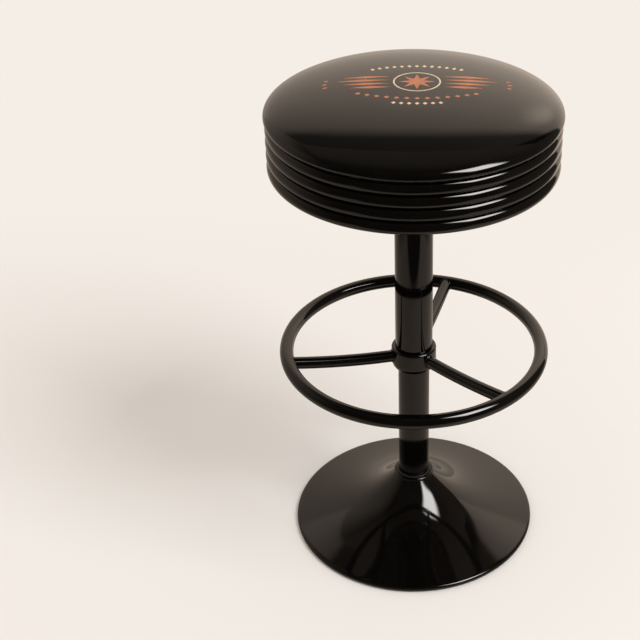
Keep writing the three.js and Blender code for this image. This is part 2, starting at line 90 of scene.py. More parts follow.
def turned(name, outline, material, steps=192, hexagon=None, crease=32, closed=True):
    """Turns an outline in mm about the upright axis into one closed body, as on a lathe, or into
    an open sheet. With a hexagon's corner radius, its widest parts are cut to that hexagon."""
    shape = bmesh.new()
    rings = []
    for radius, height in outline:
        if radius < 1e-6:
            rings.append([shape.verts.new((0, 0, height * mm))])
            continue
        ring = []
        for step in range(steps):
            angle = 2 * math.pi * step / steps
            reach = min(radius, hexagon_reach(angle, hexagon)) if hexagon else radius
            ring.append(shape.verts.new((
                reach * mm * math.cos(angle), reach * mm * math.sin(angle), height * mm)))
        rings.append(ring)
    for ring, above in zip(rings, rings[1:] + (rings[:1] if closed else [])):
        if len(ring) == 1 and len(above) == 1:
            continue
        for step in range(steps):
            corners = []
            for vert in (ring[step % len(ring)], ring[(step + 1) % len(ring)],
                         above[(step + 1) % len(above)], above[step % len(above)]):
                if vert not in corners:
                    corners.append(vert)
            shape.faces.new(corners)
    return finished_mesh(name, shape, material, crease)


def fitted(piece, body, slot, *nodes):
    """Puts a piece on its body, and lets it stand for its CAD nodes. Its slot is not used."""
    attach(piece, body)
    if nodes:
        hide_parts(*nodes)


def tuned(thing, **settings):
    """Changes several settings of one thing, and gives it back."""
    for setting, value in settings.items():
        setattr(thing, setting, value)
    return thing


class Wire:
    """An output of a node. Arithmetic on it adds math nodes to its tree."""

    def __init__(self, socket):
        self.socket, self.tree = socket, socket.id_data

    def math(self, operation, *others):
        return add(self.tree, "ShaderNodeMath", enumerate([self, *others]), operation=operation)

    __add__ = __radd__ = partialmethod(math, "ADD")
    __sub__ = partialmethod(math, "SUBTRACT")
    __mul__ = __rmul__ = partialmethod(math, "MULTIPLY")


def feed(socket, value):
    """Links a wire to a socket, or sets the socket's own value."""
    if isinstance(value, Wire):
        value.tree.links.new(value.socket, socket)
    else:
        socket.default_value = value


def add(tree, kind, feeds=(), **settings):
    """Adds a node, fills its sockets by name or number, and gives its first output."""
    node = tuned(tree.nodes.new(kind), **settings)
    for socket, value in dict(feeds).items():
        feed(node.inputs[socket], value)
    return Wire(node.outputs[0])


def outputs(tree, kind, feeds=()):
    """Adds a node in the same way, and gives all its outputs by name."""
    return {output.name: Wire(output) for output in add(tree, kind, feeds).socket.node.outputs}


def finish(name, colour, roughness, metallic=0.0, ior=1.5):
    """A finish whose even values sit on its shader's own sockets."""
    made = bpy.data.materials.new(name)
    made.use_nodes = True
    even = {"Base Color": (*colour, 1), "Roughness": roughness, "Metallic": metallic, "IOR": ior}
    for socket, value in even.items():
        shader_socket(made, socket).default_value = value
    return made


def shader_socket(material, socket):
    return material.node_tree.nodes["Principled BSDF"].inputs[socket]


def clouds(material, grain, detail=3.0, stretch=(1, 1, 1), rough=0.5, bend=0.0):
    """Soft random clouds with a grain in mm, fixed to the piece."""
    tree = material.node_tree
    place = add(tree, "ShaderNodeMapping", {
        "Vector": outputs(tree, "ShaderNodeTexCoord")["Object"],
        "Scale": [axis / (grain * mm) for axis in stretch]})
    return add(tree, "ShaderNodeTexNoise", {
        "Vector": place, "Scale": 1.0, "Detail": detail, "Roughness": rough, "Distortion": bend})


def cells(material, grain):
    """Small round cells with a width in mm, fixed to the piece."""
    tree = material.node_tree
    return add(tree, "ShaderNodeTexVoronoi", {
        "Vector": outputs(tree, "ShaderNodeTexCoord")["Object"], "Scale": 1 / (grain * mm)})


def ramped(amount, stops):
    """Maps an amount to colours, each stop a place from 0 to 1 and a colour."""
    colours = add(amount.tree, "ShaderNodeValToRGB", {0: amount})
    elements = colours.socket.node.color_ramp.elements
    while len(elements) < len(stops):
        elements.new(0.5)
    for element, (place, colour) in zip(elements, stops):
        element.position = place
        element.color = (*colour, 1)
    return colours


def coloured(material, amount, stops):
    """Lets an amount choose the colour."""
    feed(shader_socket(material, "Base Color"), ramped(amount, stops))


def dulled(material, amount, low, high):
    """Lets an amount move the roughness between two values."""
    feed(shader_socket(material, "Roughness"), add(material.node_tree, "ShaderNodeMapRange", {
        "Value": amount, "From Min": 0.3, "From Max": 0.7, "To Min": low, "To Max": high}))


def raised(material, amount, height):
    """Adds a relief with a height in mm on top of those already there."""
    normal = shader_socket(material, "Normal")
    below = {"Normal": Wire(normal.links[0].from_socket)} if normal.is_linked else {}
    feed(normal, add(material.node_tree, "ShaderNodeBump", {
        "Strength": 1.0, "Distance": height * mm, "Height": amount, **below}))


moulded_rubber = finish("moulded_rubber", (0.012, 0.012, 0.012), 0.75)
coloured(moulded_rubber, clouds(moulded_rubber, 9), [
    (0.3, (0.008, 0.008, 0.008)), (0.7, (0.02, 0.019, 0.018))])
dulled(moulded_rubber, clouds(moulded_rubber, 4), 0.62, 0.85)
raised(moulded_rubber, clouds(moulded_rubber, 0.6), 0.08)

grip_grooves = []
for groove in (150.6, 154.4, 158.2):
    grip_grooves += [
        (groove, 0, 0.2), (groove + 0.3, 0.8, 0.2), (groove + 1.1, 0.8, 0.2), (groove + 1.4, 0, 0.2)]
rubber_foot = turned("rubber_floor_ring", softened([
    (148, 0, 0.8), *grip_grooves, (162, 0, 0.8), (162, 2.8, 0.5), (148, 2.8, 0.5)], 3), moulded_rubber)
fitted(rubber_foot, "base", "black_rubber", "floor_ring")


# ------------------------------------------
# Base plate: a pressed steel disc that closes the base from below and holds the ballast. Its
# middle is dished up to hide the bolt, and a pressed rib stiffens it. It is zinc plated.

def zinc_finish(name, colour, roughness, grain):
    """Zinc plate over pressed steel: small spangles, a little blue and straw, and fine scratches."""
    made = finish(name, colour, roughness, metallic=1.0)
    red, green, blue = colour
    coloured(made, clouds(made, 4 * grain, detail=5), [
        (0.3, (0.82 * red, 0.86 * green, 0.92 * blue)), (0.5, colour),
        (0.7, (1.08 * red, 1.02 * green, 0.9 * blue))])
    dulled(made, clouds(made, grain, detail=6, rough=0.7), roughness - 0.09, roughness + 0.13)
    raised(made, clouds(made, 0.7 * grain, stretch=(0.15, 1, 1)), 0.012)
    raised(made, cells(made, 1.5 * grain), 0.01)
    return made


zinc_plate = zinc_finish("zinc_plate", (0.56, 0.57, 0.58), 0.36, 3.0)

plate_wall = 2.4
plate_rib = [(78, 3.1, 2), (82, 5.3, 1.6), (92, 5.3, 1.6), (96, 3.1, 2)]
plate_rib_top = [(radius, height + plate_wall, rounding) for radius, height, rounding in reversed(plate_rib)]
dished_plate = turned("dished_base_plate", softened([
    (6.3, 12.6, 0.3), (33.2, 12.6, 3), (49.2, 3.1, 4), *plate_rib, (164, 3.1, 0.6), (164, 5.5, 0.6),
    *plate_rib_top, (50.6, 5.5, 4), (34.6, 15.0, 3), (6.3, 15.0, 0.3)]), zinc_plate)
fitted(dished_plate, "base", "zinc_plated_steel", "base_plate")


# ------------------------------------------
# Foot bolt and washer: one M12 hex bolt and a wide washer clamp the base plate, the ballast and
# the bell to the foot of the column. Both are bright zinc, with a chamfer turned on the hex.

bright_zinc = zinc_finish("bright_zinc", (0.62, 0.63, 0.65), 0.27, 1.2)

foot_bolt = turned("foot_bolt_and_shank", softened([
    (0, 2.6, 0), (4.6, 2.6, 0.2), (5.4, 2.0, 0.2), (8.4, 2.0, 0.3), (10.2, 2.9, 0.1),
    (10.2, 9.5, 0.2), (6, 9.5, 0.2), (6, 36.5, 0.4), (5, 37.5, 0.4), (0, 37.5, 0)], 2),
    bright_zinc, steps=96, hexagon=10)
fitted(foot_bolt, "base", "zinc_plated_steel", "base_bolt")

foot_washer = turned("foot_washer_disc", softened([
    (6.4, 9.8, 0.4), (19, 9.8, 0.6), (19, 12.3, 0.6), (6.4, 12.3, 0.4)], 3), bright_zinc, steps=96)
fitted(foot_washer, "base", "zinc_plated_steel", "base_washer")


# ------------------------------------------
# Ballast and foot plug: a rough sand-cast iron ring lies on the plate, and a turned steel plug
# is welded in the foot of the column for the bolt. Both are hidden, and keep their CAD shape.

cast_iron = finish("sand_cast_iron", (0.06, 0.058, 0.056), 0.78, metallic=0.55)
coloured(cast_iron, clouds(cast_iron, 14, detail=6), [
    (0.32, (0.035, 0.034, 0.034)), (0.55, (0.075, 0.072, 0.07)), (0.72, (0.11, 0.06, 0.035))])
dulled(cast_iron, clouds(cast_iron, 5), 0.66, 0.9)
raised(cast_iron, clouds(cast_iron, 1.3, detail=5), 0.35)
raised(cast_iron, clouds(cast_iron, 11), 0.7)

turned_steel = finish("turned_steel", (0.36, 0.35, 0.34), 0.34, metallic=1.0)
coloured(turned_steel, clouds(turned_steel, 8, detail=5), [
    (0.35, (0.3, 0.29, 0.28)), (0.7, (0.42, 0.4, 0.37))])
dulled(turned_steel, clouds(turned_steel, 3), 0.28, 0.45)
raised(turned_steel, clouds(turned_steel, 0.5, stretch=(0.05, 0.05, 1)), 0.02)

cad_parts["ballast_weight"].material_slots[0].material = cast_iron
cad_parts["column_foot_plug"].material_slots[0].material = turned_steel


# ------------------------------------------
# Base bell: a trumpet spun from 2 mm steel, with a bead rolled at its neck and a tight roll at
# its rim, then sprayed with gloss black stove enamel, which flows out almost like glass.

def enamel_finish(name, roughness, painted_light_gain=1.0):
    """Gloss black stove enamel: near black, a faint orange peel, and haze where it was wiped. A light gain
    above 1 paints light in, as a paler base colour.
    """
    made = finish(name, (0.0016, 0.0013, 0.001), roughness, ior=1.52)
    coloured(made, clouds(made, 60), [
        (0.35, (0.0012 * painted_light_gain, 0.001 * painted_light_gain, 0.0008 * painted_light_gain)),
        (0.7, (0.002 * painted_light_gain, 0.0016 * painted_light_gain, 0.0012 * painted_light_gain))])
    dulled(made, clouds(made, 22, detail=5), roughness, roughness + 0.035)
    raised(made, clouds(made, 2.6, detail=1), 0.0011)
    raised(made, clouds(made, 0.35, detail=1), 0.00012)
    return made


gloss_enamel = enamel_finish("gloss_black_enamel", 0.045)
# The bell's copy of the enamel has a paler base colour: painted light on the bell.
bell_enamel_painted_light = enamel_finish("black_enamel_painted_light", 0.05, 1.2)


def bend(points, share):
    """A point of a Bezier curve through its control points."""
    while len(points) > 1:
        points = [first.lerp(last, share) for first, last in zip(points, points[1:])]
    return points[0]


def arc(across, up, radius, start, end, steps):
    """Points on an arc, with its angles in degrees."""
    angles = [math.radians(start + (end - start) * step / steps) for step in range(steps + 1)]
    return [Vector((across + radius * math.cos(angle), up + radius * math.sin(angle))) for angle in angles]


rim_roll = arc(171.8, 4.1, 4.1, 76, -204, 36)
flare_bend = [Vector(corner) for corner in ((27.2, 79.39), (62.9, 41.2), (89.9, 27.2), rim_roll[0])]
flare_steps = 72
shell_wall = 2.0
flare = [bend(flare_bend, step / flare_steps) for step in range(flare_steps + 1)]
flare_inside = []
for step in range(flare_steps, -1, -2):
    share = step / flare_steps
    along = bend(flare_bend, min(1, share + 0.01)) - bend(flare_bend, max(0, share - 0.01))
    flare_inside.append(bend(flare_bend, share) - Vector((-along.y, along.x)).normalized() * shell_wall)
neck_bead = arc(26.5, 82, 2.7, 180, -75, 24)
spun_bell = turned(
    "spun_base_bell", [*flare[1:-1], *rim_roll, *flare_inside[3:], Vector((23.8, 79.6)), *neck_bead],
    bell_enamel_painted_light, steps=256, crease=40)
fitted(spun_bell, "base", "gloss_black_steel", "base_bell")


# ------------------------------------------
# Neck bush and sleeve spacer: two moulded nylon rings. The bush centres the column in the neck
# with a thin lip on top, and the spacer centres the top of the cover sleeve on the column.

moulded_nylon = finish("moulded_nylon", (0.014, 0.014, 0.014), 0.36)
coloured(moulded_nylon, clouds(moulded_nylon, 12), [
    (0.35, (0.01, 0.01, 0.01)), (0.7, (0.018, 0.018, 0.018))])
dulled(moulded_nylon, clouds(moulded_nylon, 3), 0.3, 0.44)
raised(moulded_nylon, clouds(moulded_nylon, 0.4), 0.01)

neck_bush = turned("nylon_neck_bush", softened([
    (22.3, 70, 0.4), (23.5, 70, 0.4), (23.5, 85, 0.1), (25.1, 85, 0.4), (25.1, 86.6, 0.6),
    (22.3, 86.6, 0.3)]), moulded_nylon)
fitted(neck_bush, "base", "black_nylon", "neck_bush")

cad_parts["sleeve_spacer"].material_slots[0].material = moulded_nylon


# ------------------------------------------
# Column and cover sleeve: a 44 mm steel tube runs from the base to the swivel, and a wider thin
# tube covers its upper part from the footrest hub to the flange. Both are gloss black.

def tube(name, inside, outside, bottom, top, edge):
    corners = [(inside, bottom, edge), (outside, bottom, edge), (outside, top, edge), (inside, top, edge)]
    return turned(name, softened(corners, 3), gloss_enamel)


tube_top = 566.5
column_tube = tube("column_tube", 19.5, 22, 15.3, tube_top, 0.5)
fitted(column_tube, "base", "gloss_black_steel", "main_column")

sleeve_tube = tube("cover_sleeve_tube", 24.5, 26, 288.8, tube_top, 0.4)
fitted(sleeve_tube, "base", "gloss_black_steel", "cover_sleeve")


# ------------------------------------------
# Footrest hub: a turned steel collar that slides on the column and takes the sleeve in its top.
# Its foot tapers to the tube, and two grub screws in drilled holes hold it at its height.

def baked(piece):
    """Keeps what a piece's modifiers make as its plain mesh."""
    result = piece.evaluated_get(bpy.context.evaluated_depsgraph_get())
    piece.data = bpy.data.meshes.new_from_object(result)
    piece.modifiers.clear()


hub_taper = [Vector((24.3 + 7 * math.cos(math.radians(angle)), 283 + 12 * math.sin(math.radians(angle))))
             for angle in range(-90, 1, 6)]
hub_body = turned("footrest_hub_collar", [
    *softened([(26.6, 288.5, 0), (22.3, 288.5, 0), (22.3, 271, 0)]), *hub_taper,
    *arc(28.3, 301.5, 3, 0, 90, 10), Vector((26.3, 304.5)), Vector((26.3, 288.5))], gloss_enamel)
drill_mesh = bmesh.new()
bmesh.ops.create_cone(
    drill_mesh, cap_ends=True, segments=40, radius1=3.3 * mm, radius2=3.3 * mm, depth=16 * mm)
drill = finished_mesh("grub_screw_drill", drill_mesh, gloss_enamel)
for turn in (math.radians(14), math.radians(134)):
    drill.rotation_euler = (0, math.pi / 2, turn)
    drill.location = (30 * mm * math.cos(turn), 30 * mm * math.sin(turn), 279.3 * mm)
    bpy.context.view_layer.update()
    tuned(hub_body.modifiers.new("hole", "BOOLEAN"), object=drill, solver="EXACT")
    baked(hub_body)
hub_body.data.set_sharp_from_angle(angle=math.radians(32))
bpy.data.objects.remove(drill)
fitted(hub_body, "base", "gloss_black_steel", "footrest_hub")

for number in (1, 2):
    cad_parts[f"hub_set_screw_{number}"].material_slots[0].material = bright_zinc


# ------------------------------------------
# Footrest: a full circle of 19 mm steel tube on three bowed 17 mm tubes. Each spoke leaves the
# hub level and rises to the ring. The gloss enamel is rubbed a little where shoes rest.

def point(tree, across, deep, up):
    return add(tree, "ShaderNodeCombineXYZ", {0: across, 1: deep, 2: up})


def circle(tree, radius, steps):
    return add(tree, "GeometryNodeCurvePrimitiveCircle", {"Resolution": steps, "Radius": radius})


def started_tree(name, sizes):
    """A new tree with a geometry input and one named input for each size."""
    tree = bpy.data.node_groups.new(name, "GeometryNodeTree")
    tree.is_modifier = True
    tree.interface.new_socket("Geometry", in_out="OUTPUT", socket_type="NodeSocketGeometry")
    tree.interface.new_socket("Geometry", in_out="INPUT", socket_type="NodeSocketGeometry")
    for size, value in sizes.items():
        kind = "NodeSocketInt" if isinstance(value, int) else "NodeSocketFloat"
        tree.interface.new_socket(size, in_out="INPUT", socket_type=kind).default_value = value
    return tree, outputs(tree, "NodeGroupInput")


def ended_tree(tree, geometry):
    """Ends a tree in Realize Instances and Set Material."""
    real = add(tree, "GeometryNodeRealizeInstances", {0: geometry})
    feed(tree.nodes.new("NodeGroupOutput").inputs[0], add(tree, "GeometryNodeSetMaterial", {0: real}))


def set_around(tree, geometry, count, first, step, pitch=0.0, height=0.0):
    """Sets copies of a geometry around the upright axis, each turned to face outwards."""
    turn = add(tree, "GeometryNodeInputIndex") * step + first
    spots = add(tree, "GeometryNodePoints", {"Count": count, "Position": point(
        tree, turn.math("COSINE") * pitch, turn.math("SINE") * pitch, height)})
    facing_out = add(tree, "FunctionNodeEulerToRotation", {0: point(tree, 0.0, 0.0, turn)})
    return add(tree, "GeometryNodeInstanceOnPoints", {
        "Points": spots, "Instance": geometry, "Rotation": facing_out})


def grown(name, tree, material, sizes=(), start=None, wall=None, crease=32):
    """Runs a tree with its sizes, and keeps the result as a plain mesh. A wall is a thickness in
    mm and its offset."""
    for node in tree.nodes:
        if node.bl_idname == "GeometryNodeSetMaterial":
            node.inputs["Material"].default_value = material
    made = bpy.data.objects.new(name, start or bpy.data.meshes.new(name))
    sheet.objects.link(made)
    form = tuned(made.modifiers.new("form", "NODES"), node_group=tree)
    for socket in tree.interface.items_tree:
        if socket.in_out == "INPUT" and socket.name in sizes:
            form[socket.identifier] = sizes[socket.name]
    if wall:
        tuned(made.modifiers.new("wall", "SOLIDIFY"),
              thickness=wall[0] * mm, offset=wall[1], use_even_offset=False)
    baked(made)
    made.data.name = name
    made.data.shade_smooth()
    made.data.set_sharp_from_angle(angle=math.radians(crease))
    return made


three_spokes = {"Spokes": 3, "First angle": math.radians(74), "Step angle": 2 * math.pi / 3}

ring_tree, ring_size = started_tree("footrest_ring", {
    "Ring radius": 0.1777, "Tube radius": 0.00955, "Height": 0.3023})
ring_wall = add(ring_tree, "GeometryNodeCurveToMesh", {
    "Curve": circle(ring_tree, ring_size["Ring radius"], 288),
    "Profile Curve": circle(ring_tree, ring_size["Tube radius"], 48)})
ended_tree(ring_tree, add(ring_tree, "GeometryNodeTransform", {
    "Geometry": ring_wall, "Translation": point(ring_tree, 0.0, 0.0, ring_size["Height"])}))

spoke_tree, spoke_size = started_tree("footrest_spokes", {
    "Hub end": 0.026, "Ring end": 0.1755, "Bow height": 0.2903, "Ring height": 0.30195,
    "Tube radius": 0.0084, **three_spokes})
spoke_middle = (spoke_size["Hub end"] + spoke_size["Ring end"]) * 0.5
spoke_path = add(spoke_tree, "GeometryNodeCurveQuadraticBezier", {
    "Resolution": 40,
    "Start": point(spoke_tree, spoke_size["Hub end"], 0.0, spoke_size["Bow height"]),
    "Middle": point(spoke_tree, spoke_middle, 0.0, spoke_size["Bow height"]),
    "End": point(spoke_tree, spoke_size["Ring end"], 0.0, spoke_size["Ring height"])})
spoke_wall = add(spoke_tree, "GeometryNodeCurveToMesh", {
    "Curve": spoke_path, "Profile Curve": circle(spoke_tree, spoke_size["Tube radius"], 48),
    "Fill Caps": True})
ended_tree(spoke_tree, set_around(
    spoke_tree, spoke_wall, spoke_size["Spokes"], spoke_size["First angle"], spoke_size["Step angle"]))

rubbed_enamel = enamel_finish("rubbed_black_enamel", 0.03)
raised(rubbed_enamel, clouds(rubbed_enamel, 1.1, detail=6, stretch=(1, 1, 3), rough=0.8), 0.0009)

ring_tube = grown("footrest_ring_tube", ring_tree, rubbed_enamel)
fitted(ring_tube, "base", "gloss_black_steel", "footrest_ring")

spoke_tubes = grown("footrest_spoke_tubes", spoke_tree, gloss_enamel)
fitted(spoke_tubes, "base", "gloss_black_steel", "footrest_spoke_1", "footrest_spoke_2", "footrest_spoke_3")


# ------------------------------------------
# Footrest welds: a small MIG bead runs around both ends of each spoke, with the ripples that
# the torch leaves. The bead lies in the corner between the tubes and is enamelled over.

weld_tree, weld = started_tree("spoke_welds", {
    "Spoke radius": 0.0084, "Host radius": 0.00955, "Host centre": 0.1777, "Height": 0.3012,
    "Upright host": 0.0, "Outwards": -1.0, "Bead radius": 0.0013, "Ripple": 0.22, "Ripples": 26.0,
    **three_spokes, "Seed": 7.0})
on_loop = outputs(weld_tree, "ShaderNodeSeparateXYZ", {0: add(weld_tree, "GeometryNodeInputPosition")})
beside = on_loop["X"] * weld["Spoke radius"]
above = on_loop["Y"] * weld["Spoke radius"]
across_host = add(weld_tree, "ShaderNodeMix", {0: weld["Upright host"], 2: above, 3: beside})
host_run = (weld["Host radius"] * weld["Host radius"] - across_host * across_host).math("SQRT")
weld_path = add(weld_tree, "GeometryNodeSetPosition", {
    "Geometry": circle(weld_tree, 1.0, 120), "Position": point(
        weld_tree, weld["Host centre"] + weld["Outwards"] * host_run, beside, weld["Height"] + above)})
ripple_wave = (on_loop["Y"].math("ARCTAN2", on_loop["X"]) * weld["Ripples"]).math("SINE")
uneven = add(weld_tree, "ShaderNodeTexNoise", {
    "W": weld["Seed"], "Scale": 2.3, "Detail": 2.0}, noise_dimensions="4D")
weld_swell = uneven * 0.5 + 0.75 + ripple_wave * (weld["Ripple"] * 0.5)
thick_path = add(weld_tree, "GeometryNodeSetCurveRadius", {
    "Curve": weld_path, "Radius": weld_swell * weld["Bead radius"]})
weld_bead = add(weld_tree, "GeometryNodeCurveToMesh", {
    "Curve": thick_path, "Profile Curve": circle(weld_tree, 1.0, 12),
    "Scale": add(weld_tree, "GeometryNodeInputRadius")})
ended_tree(weld_tree, set_around(
    weld_tree, weld_bead, weld["Spokes"], weld["First angle"], weld["Step angle"]))

ring_welds = grown("ring_weld_beads", weld_tree, gloss_enamel)
fitted(ring_welds, "base", "gloss_black_steel")

hub_welds = grown("hub_weld_beads", weld_tree, gloss_enamel, {
    "Host radius": 0.0313, "Host centre": 0.0, "Height": 0.2903, "Upright host": 1.0, "Outwards": 1.0,
    "Seed": 3.0})
fitted(hub_welds, "base", "gloss_black_steel")


# ------------------------------------------
# Column flange: a thick steel disc welded on the top of the column and enamelled with it. The
# lower half of the swivel is bolted down on it.

flange_disc = turned("column_flange_disc", softened([
    (14, 566.8, 0.5), (80, 566.8, 0.9), (80, 571.8, 0.9), (14, 571.8, 0.5)]), gloss_enamel)
fitted(flange_disc, "base", "gloss_black_steel", "column_flange")


# ------------------------------------------
# Ball-race swivel: two pressed plates in black zinc with a groove each, a brass cage and twelve
# steel balls between them, and a rivet through the middle that keeps the plates together.

black_zinc = zinc_finish("black_zinc_plate", (0.07, 0.07, 0.075), 0.4, 3.0)

ball_pitch, ball_height, groove_radius = 45, 579.25, 5.15
race_bow = math.degrees(math.asin(3.15 / groove_radius))
lower_race = turned("lower_race_plate", [
    *softened([(6.4, 576.1, 0.4), (6.4, 572.1, 0.4), (80, 572.1, 0.8), (80, 576.1, 0.8)]),
    *arc(ball_pitch, ball_height, groove_radius, -race_bow, race_bow - 180, 12)], black_zinc)
fitted(lower_race, "base", "zinc_plated_steel", "swivel_lower_plate")

upper_race = turned("upper_race_plate", [
    *softened([(98, 582.4, 0.8), (98, 586.4, 0.8), (6.4, 586.4, 0.4), (6.4, 582.4, 0.4)]),
    *arc(ball_pitch, ball_height, groove_radius, 180 - race_bow, race_bow, 12)], black_zinc)
fitted(upper_race, "seat", "zinc_plated_steel", "swivel_upper_plate")

swivel_rivet = turned("swivel_rivet_pin", [
    Vector((0, 568.8)), *arc(8.4, 571.4, 2.6, -90, 0, 6),
    *[Vector(corner) for corner in ((11, 571.8), (6, 571.8), (6, 586.7), (11, 586.7))],
    *arc(8.4, 587.1, 2.6, 0, 90, 6), Vector((0, 589.7))], bright_zinc, steps=64)
fitted(swivel_rivet, "base", "zinc_plated_steel", "king_rivet")

ground_steel = finish("ground_ball_steel", (0.66, 0.66, 0.67), 0.1, metallic=1.0)
coloured(ground_steel, clouds(ground_steel, 3), [
    (0.35, (0.58, 0.58, 0.6)), (0.7, (0.72, 0.72, 0.72))])
dulled(ground_steel, clouds(ground_steel, 1.5, detail=5), 0.07, 0.18)
raised(ground_steel, clouds(ground_steel, 0.3), 0.0006)

stamped_brass = finish("stamped_brass", (0.6, 0.42, 0.16), 0.34, metallic=1.0)
coloured(stamped_brass, clouds(stamped_brass, 9, detail=5), [
    (0.32, (0.42, 0.27, 0.1)), (0.6, (0.62, 0.44, 0.18))])
dulled(stamped_brass, clouds(stamped_brass, 3), 0.26, 0.46)
raised(stamped_brass, clouds(stamped_brass, 0.8), 0.01)
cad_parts["bearing_cage"].material_slots[0].material = stamped_brass

parts_tree, parts_size = started_tree("parts_in_a_ring", {
    "Count": 12, "Pitch radius": ball_pitch * mm, "First angle": 0.0, "Step angle": math.pi / 6,
    "Height": ball_height * mm})
ended_tree(parts_tree, set_around(
    parts_tree, parts_size["Geometry"], parts_size["Count"], parts_size["First angle"],
    parts_size["Step angle"], parts_size["Pitch radius"], parts_size["Height"]))

ball_shape = bmesh.new()
bmesh.ops.create_icosphere(ball_shape, subdivisions=4, radius=4.75 * mm)
one_ball = finished_mesh("one_ball", ball_shape, ground_steel)
swivel_balls = grown("swivel_balls", parts_tree, ground_steel, start=one_ball.data, crease=180)
bpy.data.objects.remove(one_ball)
fitted(swivel_balls, "bearing", "bearing_steel", *[f"bearing_ball_{number}" for number in range(1, 13)])


# ------------------------------------------
# Flange bolts and nuts: four mushroom-head bolts hold the lower plate on the flange, each with
# a hex nut below and two turns of thread showing under it.

def four_around(name, single, pitch, first, height, nodes, body):
    """Sets four copies of one small part in a ring, and lets them stand for their CAD nodes."""
    made = grown(name, parts_tree, single.data.materials[0], {
        "Count": 4, "Pitch radius": pitch * mm, "First angle": math.radians(first),
        "Step angle": math.pi / 2, "Height": height * mm}, start=single.data)
    bpy.data.objects.remove(single)
    fitted(made, body, "zinc_plated_steel", *[f"{nodes}_{number}" for number in range(1, 5)])


def thread(radius, start, end, pitch, depth):
    """The zigzag outline of a thread between two heights."""
    turns = round(abs(end - start) / pitch)
    outline = []
    for turn in range(turns):
        low = start + (end - start) * turn / turns
        outline += [Vector((radius - depth, low)), Vector((radius, low + (end - start) * 0.5 / turns))]
    return [*outline, Vector((radius - depth, end))]


mushroom_dome = [Vector((5.4 * math.cos(angle), 3 * math.sin(angle)))
                 for angle in [0.3 + 0.16 * step for step in range(8)]]
flange_bolt = turned("one_flange_bolt", [
    Vector((0, -16.4)), *thread(3, -16.4, -9.5, 1, 0.35), Vector((3, -9)), Vector((3, 0)),
    Vector((5.4, 0)), *mushroom_dome, Vector((0, 3))], bright_zinc, steps=48)
four_around("flange_bolt_set", flange_bolt, 71, 45, 576.4, "flange_bolt", "base")

flange_nut = turned("one_flange_nut", softened([
    (3.3, -4.6, 0.1), (4.0, -4.8, 0.2), (4.9, -4.8, 0.2), (5.9, -4.2, 0.1), (5.9, -0.6, 0.1),
    (4.9, 0, 0.2), (4.0, 0, 0.2), (3.3, -0.2, 0.1)], 2), bright_zinc, steps=48, hexagon=5.8)
four_around("flange_nut_set", flange_nut, 71, 45, tube_top, "flange_nut", "base")


# ------------------------------------------
# Seat board: a round of birch plywood, bored in the middle for the rivet, with its edge eased.
# It is stained black. Its underside shows below the seat, with the veneer's grain and pores.

stained_plywood = finish("stained_birch_plywood", (0.02, 0.016, 0.012), 0.6)
veneer_grain = clouds(stained_plywood, 26, detail=8, stretch=(0.12, 2.2, 1), rough=0.62, bend=0.8)
fine_pores = clouds(stained_plywood, 2.2, detail=4, stretch=(0.08, 1.4, 1))
coloured(stained_plywood, veneer_grain, [
    (0.28, (0.012, 0.009, 0.007)), (0.45, (0.024, 0.018, 0.013)), (0.6, (0.04, 0.03, 0.021)),
    (0.78, (0.018, 0.014, 0.01))])
dulled(stained_plywood, fine_pores, 0.5, 0.74)
raised(stained_plywood, fine_pores, 0.05)
raised(stained_plywood, veneer_grain, 0.06)

board_disc = turned("plywood_seat_board", softened([
    (14, 586.7, 0.8), (178.2, 586.7, 1.5), (178.2, 601.7, 1.5), (14, 601.7, 0.8)]), stained_plywood)
fitted(board_disc, "seat", "plywood", "seat_board")


# ------------------------------------------
# Seat screws: four hex-head screws go up through the upper plate into the seat board. Their
# heads have a small flange like a washer, and show below the plate.

seat_screw = turned("one_seat_screw", [
    *softened([(0, -2.9, 0), (2.2, -2.9, 0.2), (2.8, -3.2, 0.2), (4.2, -3.2, 0.2), (5.1, -2.7, 0.1),
               (5.1, -0.1, 0), (2.4, 0, 0)], 2),
    Vector((2.4, 4.3)), *thread(2.4, 5, 14, 1.5, 0.6), Vector((0, 15.3))],
    bright_zinc, steps=48, hexagon=5)
four_around("seat_screw_set", seat_screw, 89, 45, 582.1, "seat_screw", "seat")


# ------------------------------------------
# Bead band: a strip of 1.2 mm steel rolled with four round beads, welded to a hoop, with a lip
# turned in below the seat board. It has the same gloss black enamel as the base.

band_tree, band = started_tree("rolled_bead_band", {
    "Crest radius": 0.1894, "Groove radius": 0.1821, "Lip radius": 0.166, "Foot height": 0.5828,
    "Bead pitch": 0.01725, "Beads": 4, "Steps around": 288, "Steps in a bead": 32, "Steps in the lip": 8})
band_rows = band["Beads"] * band["Steps in a bead"] + band["Steps in the lip"]
flat_strip = add(band_tree, "GeometryNodeMeshGrid", {
    "Size X": 1.0, "Size Y": 1.0, "Vertices X": band["Steps around"] + 1.0, "Vertices Y": band_rows + 1.0})
on_strip = outputs(band_tree, "ShaderNodeSeparateXYZ", {0: add(band_tree, "GeometryNodeInputPosition")})
turn_around = (on_strip["X"] + 0.5) * (2 * math.pi)
row = (on_strip["Y"] + 0.5) * band_rows
lip_share = row.math("DIVIDE", band["Steps in the lip"]).math("MINIMUM", 1.0)
bead_run = (row - band["Steps in the lip"]).math("DIVIDE", band["Steps in a bead"]).math("MAXIMUM", 0.0)
bead_number = (bead_run + 0.0001).math("FLOOR")
bead_turn = (bead_run - bead_number) * math.pi
lip_out = (band["Groove radius"] - band["Lip radius"]) * lip_share
bead_out = (band["Crest radius"] - band["Groove radius"]) * bead_turn.math("SINE")
strip_radius = band["Lip radius"] + lip_out + bead_out
bead_rise = bead_number + 0.5 - bead_turn.math("COSINE") * 0.5
